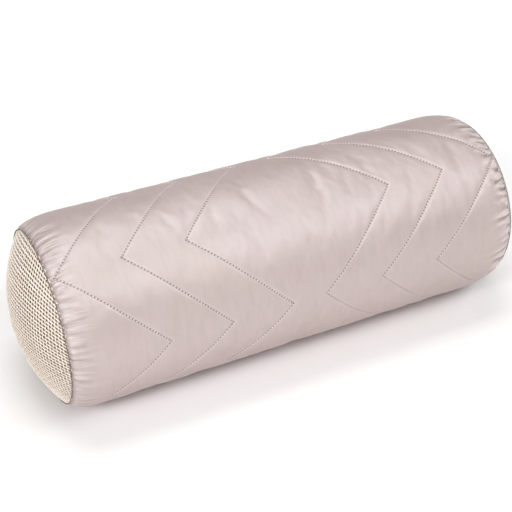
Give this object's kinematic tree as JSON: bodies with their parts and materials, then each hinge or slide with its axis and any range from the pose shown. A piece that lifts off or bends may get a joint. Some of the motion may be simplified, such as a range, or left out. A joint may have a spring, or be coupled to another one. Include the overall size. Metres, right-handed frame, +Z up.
{
  "type": "bolster pillow",
  "caption": "Round bolster pillow with a chevron-quilted satin tube, woven domed ends and a zipped cover over a stuffed insert; it supports a neck or knees.",
  "frame": {"origin": "middle of the flat that the pillow rests on, directly below the middle of its length", "axes": "+X along the pillow's length towards the end where the zip closes, -Y towards the show side, +Y towards the zip, +Z up"},
  "size_m": [0.492, 0.1808, 0.173],
  "materials": {
    "satin": "soft sheen satin, blush pink",
    "wadding": "matte fibre wadding",
    "backing": "plain woven backing cloth",
    "end_weave": "open basket weave, cream",
    "lining": "plain lining, taupe",
    "quilting_thread": "twisted polyester thread",
    "seam_thread": "twisted polyester thread",
    "zip_tape": "woven zip tape",
    "zip_teeth": "moulded acetal",
    "zip_metal": "painted die-cast zinc, satin",
    "ticking": "white cotton ticking",
    "filling": "hollow polyester fibre"
  },
  "bodies": {
    "bolster": {"cover_face_panel": "satin", "cover_wadding": "wadding", "cover_backing": "backing", "end_panel_left": "end_weave", "end_panel_right": "end_weave", "end_lining_left": "lining", "end_lining_right": "lining", "quilting_thread_left_inner": "quilting_thread", "quilting_thread_left_middle": "quilting_thread", "quilting_thread_left_outer": "quilting_thread", "quilting_thread_right_inner": "quilting_thread", "quilting_thread_right_middle": "quilting_thread", "quilting_thread_right_outer": "quilting_thread", "end_seam_thread_left": "seam_thread", "end_seam_thread_right": "seam_thread", "zip_tape_upper": "zip_tape", "zip_tape_lower": "zip_tape", "zip_teeth_upper": "zip_teeth", "zip_teeth_lower": "zip_teeth", "zip_bottom_stop": "zip_metal", "zip_top_stops": "zip_metal", "zip_topstitching": "seam_thread", "insert_tube": "ticking", "insert_end_left": "ticking", "insert_end_right": "ticking", "insert_filling": "filling"},
    "slider": {"zip_slider": "zip_metal"},
    "pull_tab": {"zip_pull_tab": "zip_metal"}
  },
  "joints": [
    {"name": "zip_slide", "type": "slide", "parent": "bolster", "child": "slider", "axis": [1, 0, 0], "range_m": [-0.31, 0]},
    {"name": "pull_flip", "type": "hinge", "parent": "slider", "child": "pull_tab", "pos_m": [0.156, 0.0899, 0.084], "axis": [0, 0, -1], "range_deg": [0, 180]}
  ]
}
